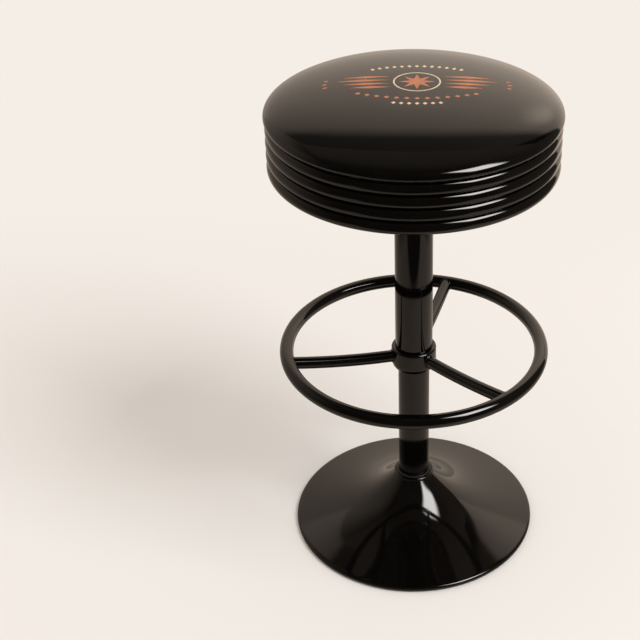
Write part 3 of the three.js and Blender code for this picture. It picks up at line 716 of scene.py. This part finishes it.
rolled_strip = add(band_tree, "GeometryNodeSetPosition", {"Geometry": flat_strip, "Position": point(
    band_tree, turn_around.math("COSINE") * strip_radius, turn_around.math("SINE") * strip_radius,
    band["Foot height"] + bead_rise * band["Bead pitch"])})
ended_tree(band_tree, add(band_tree, "GeometryNodeMergeByDistance", {
    "Geometry": rolled_strip, "Distance": 0.000005}))

bead_hoop = grown("rolled_bead_band", band_tree, gloss_enamel, wall=(1.2, -1), crease=60)
fitted(bead_hoop, "seat", "gloss_black_steel", "bead_band")


# ------------------------------------------
# Band screws: four pan-head screws go up through the band's lip into the seat board. Each has
# a slot across its domed head.

band_screw = turned("one_band_screw", [
    Vector((0, -2.2)), *arc(1.9, -0.3, 1.9, -90, 0, 8), Vector((3.8, 0)), Vector((1.8, 0)),
    Vector((1.8, 1.4)), *thread(1.8, 1.5, 9.5, 1.2, 0.45), Vector((0, 10.5))], bright_zinc, steps=48)
slot_mesh = bmesh.new()
bmesh.ops.create_cube(slot_mesh, size=1)
bmesh.ops.scale(slot_mesh, vec=(9 * mm, 0.9 * mm, 1.8 * mm), verts=slot_mesh.verts)
bmesh.ops.translate(slot_mesh, vec=(0, 0, -2.2 * mm), verts=slot_mesh.verts)
slot_blade = finished_mesh("screw_slot_blade", slot_mesh, bright_zinc)
tuned(band_screw.modifiers.new("slot", "BOOLEAN"), object=slot_blade, solver="EXACT")
baked(band_screw)
bpy.data.objects.remove(slot_blade)
four_around("band_screw_set", band_screw, 173.5, 0, 582.6, "band_screw", "seat")


# ------------------------------------------
# Foam pad: a block of pale polyurethane foam, cut to a low dome and glued on the board. It is
# wholly inside the cover, and gives the seat its crown.

skirt, widest, equator, edge_rise, crown_rise, fullness = 179.8, 190.8, 658.9, 7.0, 30.2, 2.18
crown_sunk = 1.1


def swollen_side(inset):
    """Half of the dome's section from its lower edge to its crown, drawn in by an inset in mm.
    Its crown is sunk a little, and the cover is blown up from there."""
    side = []
    for step in range(8):
        angle = math.pi / 2 * (step / 8 - 1)
        side.append(Vector((
            skirt + (widest - skirt - inset) * math.cos(angle),
            equator + (edge_rise - inset) * math.sin(angle))))
    for step in range(41):
        angle = math.pi / 2 * step / 40
        across = 0 if step == 40 else math.cos(angle) ** (2 / fullness)
        up = math.sin(angle) ** (2 / fullness)
        side.append(Vector(((widest - inset) * across, equator + (crown_rise - inset - crown_sunk) * up)))
    return side


pale_foam = finish("pale_foam", (0.78, 0.68, 0.44), 0.95)
coloured(pale_foam, clouds(pale_foam, 18), [
    (0.35, (0.66, 0.54, 0.32)), (0.7, (0.8, 0.7, 0.48))])
raised(pale_foam, cells(pale_foam, 1.2), 0.5)
dulled(pale_foam, clouds(pale_foam, 3), 0.85, 1.0)

foam_core = turned("foam_core", [
    *softened([(0, 602, 0), (178.2, 602, 1.5), (178.2, 655.6, 0)]), *swollen_side(1.6)[2:]],
    pale_foam, steps=128)
fitted(foam_core, "seat", "seat_foam", "foam_pad")


# ------------------------------------------
# Vinyl cover: a sheet of patent-gloss black vinyl, heat formed and pulled tight over the foam.
# Its edge rolls over the top of the band, and its skirt is held between the band and the pad.

patent_vinyl = finish("patent_black_vinyl", (0.0007, 0.0006, 0.0005), 0.06, ior=1.52)
coloured(patent_vinyl, clouds(patent_vinyl, 45), [
    (0.35, (0.0005, 0.0004, 0.0003)), (0.7, (0.0009, 0.0008, 0.0006))])
dulled(patent_vinyl, clouds(patent_vinyl, 30, detail=5), 0.05, 0.095)
raised(patent_vinyl, clouds(patent_vinyl, 26, detail=1), 0.012)
raised(patent_vinyl, cells(patent_vinyl, 0.7), 0.00025)
shader_socket(patent_vinyl, "Sheen Weight").default_value = 0.1
shader_socket(patent_vinyl, "Sheen Roughness").default_value = 0.3


def blown_up(piece, held_below, pressure, frames, cap):
    """Lets air press a sheet of cloth outwards from the pad, with its lower rows held, and keeps
    the shape. A soft cap keeps every move below a limit."""
    held = [corner.index for corner in piece.data.vertices if corner.co.z < held_below]
    piece.vertex_groups.new(name="held").add(held, 1.0, "REPLACE")
    cloth = piece.modifiers.new("cloth", "CLOTH")
    tuned(cloth.settings, quality=6, mass=0.3, tension_stiffness=40, compression_stiffness=40,
          shear_stiffness=20, bending_stiffness=4, use_pressure=True, uniform_pressure_force=pressure,
          vertex_group_mass="held")
    cloth.settings.effector_weights.gravity = 0
    cloth.collision_settings.use_collision = False
    tuned(cloth.point_cache, frame_start=1, frame_end=frames)
    for frame_number in range(1, frames + 1):
        bpy.context.scene.frame_set(frame_number)
    swollen = piece.evaluated_get(bpy.context.evaluated_depsgraph_get()).to_mesh()
    moves = [after.co - before.co for after, before in zip(swollen.vertices, piece.data.vertices)]
    piece.modifiers.clear()
    piece.vertex_groups.clear()
    bpy.context.scene.frame_set(1)
    for corner, move in zip(piece.data.vertices, moves):
        corner.co += move * cap / (cap + move.length)


seat_cover = turned("vinyl_seat_cover", [
    *[Vector((skirt, height)) for height in (590.2, 612, 634, 650)], *swollen_side(0)],
    patent_vinyl, steps=160, crease=180, closed=False)
blown_up(seat_cover, (equator + 12) * mm, 1.5, 20, 1.4 * mm)
tuned(seat_cover.modifiers.new("finer", "SUBSURF"), levels=1, render_levels=1)
tuned(seat_cover.modifiers.new("wall", "SOLIDIFY"), thickness=1.2 * mm, offset=-1, use_even_offset=True)
baked(seat_cover)
fitted(seat_cover, "seat", "black_vinyl", "vinyl_cover")


# ------------------------------------------
# Seat ornament: a star in a ring between two fans of tapered bars, with rows of small diamonds,
# printed on the crown of the cover in copper and cream ink. The ink film follows the dome.

def printed_ink(name, colour):
    """Opaque ink with a soft shine, a little uneven in colour, and worn thin by use."""
    made = finish(name, colour, 0.42)
    red, green, blue = colour
    coloured(made, clouds(made, 7, detail=5), [
        (0.3, (0.82 * red, 0.8 * green, 0.78 * blue)), (0.6, colour)])
    dulled(made, clouds(made, 3), 0.36, 0.52)
    raised(made, clouds(made, 0.5), 0.004)
    return made


def joined(tree, *parts):
    node = tree.nodes.new("GeometryNodeJoinGeometry")
    for part in parts:
        feed(node.inputs[0], part)
    return Wire(node.outputs[0])


def filled(tree, *curves):
    """A flat face inside one curve, or between two."""
    return add(tree, "GeometryNodeFillCurve", {0: joined(tree, *curves)})


def diamonds(tree, length, width, row_radius, count, step_angle, across, deep, middle_turn):
    """A row of small diamonds on an arc, evenly spaced to both sides of its middle."""
    mark = add(tree, "GeometryNodeTransform", {
        "Geometry": filled(tree, circle(tree, 0.5, 4)), "Scale": point(tree, width, length, 1.0)})
    first = middle_turn + step_angle * (count - 1) * -0.5
    return add(tree, "GeometryNodeTransform", {
        "Geometry": set_around(tree, mark, count, first, step_angle, row_radius),
        "Translation": point(tree, across, deep, 0.0)})


def wrapped(tree, geometry, sizes, level):
    """Moves a flat print to its place, and drops it straight down on the cover."""
    fine = add(tree, "GeometryNodeSubdivideMesh", {
        "Mesh": add(tree, "GeometryNodeRealizeInstances", {0: geometry}), "Level": level})
    high_up = add(tree, "ShaderNodeVectorMath", {
        0: add(tree, "GeometryNodeInputPosition"), 1: point(tree, sizes["Across"], sizes["Deep"], 1.0)})
    cover = outputs(tree, "GeometryNodeObjectInfo", {"Object": seat_cover})
    drop = outputs(tree, "GeometryNodeRaycast", {
        "Target Geometry": cover["Geometry"], "Source Position": high_up, "Ray Direction": (0.0, 0.0, -1.0)})
    return add(tree, "GeometryNodeSetPosition", {"Geometry": fine, "Position": drop["Hit Position"]})


print_place = {"Across": 0.004, "Deep": 0.026, "Row radius": 0.17, "Row count": 13}

copper_tree, copper = started_tree("copper_print", {
    **print_place, "Row step": math.radians(4.3), "Star radius": 0.0235, "Star waist": 0.0098,
    "Star points": 8, "Bars": 4, "Bar spacing": 0.0112, "Bar start": 0.034, "Bar length": 0.071,
    "Bar width": 0.0074, "Bar step": 0.14})
star = filled(copper_tree, add(copper_tree, "GeometryNodeCurveStar", {
    "Points": copper["Star points"], "Inner Radius": copper["Star waist"],
    "Outer Radius": copper["Star radius"]}))
bar_number = add(copper_tree, "GeometryNodeInputIndex")
bar_loss = (bar_number - 1.0).math("ABSOLUTE") * copper["Bar step"]
bar_reach = copper["Bar length"] * (bar_loss * -1.0 + 1.0)
bar_row = copper["Bar spacing"] * (bar_number * -1.0 + 1.5)
bar_rows = add(copper_tree, "GeometryNodePoints", {"Count": copper["Bars"], "Position": point(
    copper_tree, copper["Bar start"] + bar_reach * 0.5, bar_row, 0.0)})
bars = add(copper_tree, "GeometryNodeInstanceOnPoints", {
    "Points": bar_rows, "Instance": filled(copper_tree, circle(copper_tree, 0.5, 4)),
    "Scale": point(copper_tree, bar_reach, copper["Bar width"], 1.0)})
mirrored_bars = add(copper_tree, "GeometryNodeTransform", {
    "Geometry": add(copper_tree, "GeometryNodeRealizeInstances", {0: bars}), "Scale": (-1.0, 1.0, 1.0)})
left_bars = add(copper_tree, "GeometryNodeFlipFaces", {0: mirrored_bars})
lower_row = diamonds(
    copper_tree, 0.0074, 0.0074, copper["Row radius"], copper["Row count"], copper["Row step"],
    0.0, 0.118, math.radians(-90))
side_marks = [diamonds(copper_tree, 0.0046, 0.0075, 0.04, 3, math.radians(16), side, 0.0, turn)
              for side, turn in ((0.078, 0.0), (-0.078, math.pi))]
ended_tree(copper_tree, wrapped(
    copper_tree, joined(copper_tree, star, bars, left_bars, lower_row, *side_marks), copper, 4))

cream_tree, cream = started_tree("cream_print", {
    **print_place, "Row step": math.radians(3.3), "Ring radius": 0.0305, "Ring width": 0.0021})
thin_ring = filled(cream_tree, circle(cream_tree, cream["Ring radius"], 96), circle(
    cream_tree, cream["Ring radius"] - cream["Ring width"], 96))
upper_row = diamonds(
    cream_tree, 0.0058, 0.0088, cream["Row radius"], cream["Row count"], cream["Row step"],
    0.0, -0.116, math.radians(90))
short_row = diamonds(
    cream_tree, 0.006, 0.007, cream["Row radius"], 7, cream["Row step"], 0.0, 0.103, math.radians(-90))
ended_tree(cream_tree, wrapped(cream_tree, joined(cream_tree, thin_ring, upper_row, short_row), cream, 2))

for name, tree, ink in (
        ("seat_ornament_copper", copper_tree, printed_ink("copper_ink", (0.5, 0.165, 0.07))),
        ("seat_ornament_cream", cream_tree, printed_ink("cream_ink", (0.74, 0.55, 0.34)))):
    print_film = grown(name, tree, ink, wall=(0.2, 0), crease=60)
    fitted(print_film, "seat", "black_vinyl")


# ------------------------------------------
# Studio: a wide pale floor, a soft key light from the front right, and an even room light. The
# gloss sees a pale backdrop behind the stool, a lit card at the key, and a dark camera side.

paper = (0.913, 0.855, 0.791)
warm_paper = (1.2, 0.99, 0.81)


def emitted(tree, colour, strength):
    return add(tree, "ShaderNodeEmission", {0: (*colour, 1), 1: strength})


def mixed(tree, share, first, last):
    return add(tree, "ShaderNodeMixShader", {0: share, 1: first, 2: last})


def eased(value, start, end, low=0.0, high=1.0):
    """Moves smoothly from a low to a high as a value goes from a start to an end."""
    return add(value.tree, "ShaderNodeMapRange", {
        "Value": value, "From Min": start, "From Max": end, "To Min": low, "To Max": high},
        interpolation_type="SMOOTHSTEP")


def spot(tree, source="ShaderNodeTexCoord", output="Object"):
    """Where a spot lies, as three numbers."""
    return outputs(tree, "ShaderNodeSeparateXYZ", {0: outputs(tree, source)[output]})


def gloss_or_clear(ray):
    return ray["Is Glossy Ray"] + ray["Is Transmission Ray"]


def room_light(across, deep):
    """How bright the gloss sees the room in a level direction: dim in front, paler on the left."""
    turn = across.math("ARCTAN2", deep * -1.0)
    light = 0.035
    for start, end, gain in ((50, 75, 0.06), (-55, -115, 0.28), (-110, -150, 0.2)):
        light = eased(turn, math.radians(start), math.radians(end), 0.0, gain) + light
    return light


def bare_finish(name):
    """A finish without a shader."""
    made = bpy.data.materials.new(name)
    made.use_nodes = True
    made.node_tree.nodes.remove(made.node_tree.nodes["Principled BSDF"])
    return made


def shown(tree, look, end="Material Output"):
    feed(tree.nodes[end].inputs["Surface"], look)


def staged_sheet(name, width, height):
    """A flat sheet that only the gloss sees, with an empty finish."""
    shape = bmesh.new()
    bmesh.ops.create_grid(shape, x_segments=1, y_segments=1, size=0.5)
    bmesh.ops.scale(shape, vec=(width, height, 1), verts=shape.verts)
    look = bare_finish(name)
    made = finished_mesh(name, shape, look)
    tuned(made, visible_camera=False, visible_diffuse=False, visible_shadow=False)
    return made, look.node_tree


def facing(piece, azimuth, elevation, distance):
    """Places a light or a sheet at an angle round the stool, and turns it to face the stool."""
    turn, lift = math.radians(azimuth), math.radians(elevation)
    way = Vector((math.sin(turn) * math.cos(lift), -math.cos(turn) * math.cos(lift), math.sin(lift)))
    piece.location = Vector((0, 0, 0.35)) + way * distance
    piece.rotation_euler = way.to_track_quat("Z", "Y").to_euler()


floor_shape = bmesh.new()
bmesh.ops.create_circle(floor_shape, cap_ends=True, segments=96, radius=7)
floor_paint = bare_finish("studio_floor")
paint_tree = floor_paint.node_tree
across, deep = [spot(paint_tree)[axis] for axis in "XY"]
ray = outputs(paint_tree, "ShaderNodeLightPath")
chalk = add(paint_tree, "ShaderNodeBsdfDiffuse", {"Color": (0.835, 0.781, 0.723, 1)})
# Far from the stool the camera sees even paper.
away = (across * across + deep * deep).math("SQRT")
far_share = eased(away, 0.95, 1.6).math("MAXIMUM", eased(deep, 0.6, 1.0))
far_paper = mixed(paint_tree, far_share * ray["Is Camera Ray"], chalk, emitted(paint_tree, paper, 1.0))
# The gloss sees a lit pool on the floor, dimmer on its left and dark in front.
pool_side = eased(across, -0.35, 0.35, 0.33, 0.46)
pool_front = eased(across * across * 0.5 + deep, -0.75, -0.53)
left_shade = eased(deep, 0.05, 0.25, 0.0, 0.38) * eased(across, -0.1, -0.3) * -1.0 + 1.0
pool = pool_side * pool_front * left_shade * eased(across, 1.15, 0.9) * eased(across, -1.25, -0.8)
floor_glow = pool.math("MAXIMUM", room_light(across, deep))
shown(paint_tree, mixed(
    paint_tree, gloss_or_clear(ray), far_paper, emitted(paint_tree, warm_paper, floor_glow)))
finished_mesh("studio_floor", floor_shape, floor_paint)

backdrop_side = 1.6
backdrop, backdrop_tree = staged_sheet("studio_backdrop", backdrop_side, backdrop_side)
tuned(backdrop, location=(0.15, 0.65, 0.8), rotation_euler=(math.pi / 2, 0, 0))
across, up = [spot(backdrop_tree)[axis] for axis in "XY"]
rise = ramped(up * (1 / backdrop_side) + 0.5, [(place, (light, light, light)) for place, light in (
    (0.38, 1.0), (0.43, 1.36), (0.5, 1.32), (0.56, 1.22), (0.62, 1.08), (0.69, 0.92), (0.76, 0.77),
    (0.83, 0.12))])
side = ramped(across * (1 / backdrop_side) + 0.5, [(place, (light, light, light)) for place, light in (
    (0.0, 0.48), (0.2, 0.54), (0.41, 0.64), (0.55, 0.76), (0.66, 0.95), (0.9, 0.8))])
patch_across, patch_up = across - 0.27, up - 0.26
patch = eased((patch_across * patch_across + patch_up * patch_up).math("SQRT"), 0.15, 0.03, 1.0, 1.5)
slanted_edge = eased(up * 0.45 + across, 0.83, 0.73, 0.1, 1.0)
shown(backdrop_tree, emitted(backdrop_tree, warm_paper, side * rise * patch * slanted_edge))

left_screen, screen_tree = staged_sheet("studio_left_screen", 2.7, 2.5)
tuned(left_screen, location=(-1.5, 0.5, 1.25), rotation_euler=(math.pi / 2, 0, math.radians(72)))
screen = spot(screen_tree, "ShaderNodeNewGeometry", "Position")
shown(screen_tree, emitted(
    screen_tree, warm_paper, room_light(screen["X"], screen["Y"]) * eased(screen["Z"], 1.3, 2.5, 1.0, 0.2)))

gloss_card, card_tree = staged_sheet("studio_gloss_card", 1.94, 1.94)
facing(gloss_card, 60.5, 51.3, 3.4)
card = spot(card_tree)
card_edges = eased(card["X"].math("ABSOLUTE"), 0.97, 0.5) * eased(card["Y"].math("ABSOLUTE"), 0.97, 0.65)
shown(card_tree, emitted(card_tree, (1.03, 1.0, 0.97), card_edges * 14.0))

room = bpy.data.worlds.new("studio_room")
bpy.context.scene.world = room
room.use_nodes = True
room_tree = room.node_tree
room_way = spot(room_tree, output="Generated")
room_ray = outputs(room_tree, "ShaderNodeLightPath")
ceiling = eased(room_way["Y"], -0.1, 0.5, 0.05, 0.125)
room_glow = ceiling + eased(room_way["Z"], 0.74, 0.6) * (room_light(room_way["X"], room_way["Y"]) - ceiling)


def room_look(colour, strength):
    return add(room_tree, "ShaderNodeBackground", {"Color": (*colour, 1), "Strength": strength})


seen_room = mixed(
    room_tree, room_ray["Is Camera Ray"], room_look((1, 0.968, 0.935), 0.77), room_look(paper, 1.0))
shown(room_tree, mixed(room_tree, gloss_or_clear(room_ray), seen_room, room_look(warm_paper, room_glow)),
      "World Output")

key_brightness = 9.5
key_lamp = bpy.data.lights.new("key_softbox", "AREA")
tuned(key_lamp, shape="RECTANGLE", size=3.2, size_y=3.7, color=(0.96, 1.0, 1.06))
key_lamp.energy = key_brightness * math.pi * key_lamp.size * key_lamp.size_y
key_light = bpy.data.objects.new("key_softbox", key_lamp)
sheet.objects.link(key_light)
facing(key_light, 57.5, 51, 8.0)
tuned(key_light, visible_camera=False, visible_glossy=False)


# ------------------------------------------
# Camera: at the eyes of someone close by, looking down at the stool by 33 degrees. The frame is
# shifted, so that the stool stands right of the middle as in the photograph.

camera = bpy.data.objects.new("photo_camera", bpy.data.cameras.new("photo_camera"))
sheet.objects.link(camera)
tuned(camera, location=(0, -1.6297, 1.3947), rotation_euler=(math.radians(57.20), 0, 0))
tuned(camera.data, sensor_width=36, lens=78.753, shift_x=-0.14664, shift_y=0.0005)
bpy.context.scene.camera = camera
bpy.context.scene.view_settings.view_transform = "Standard"
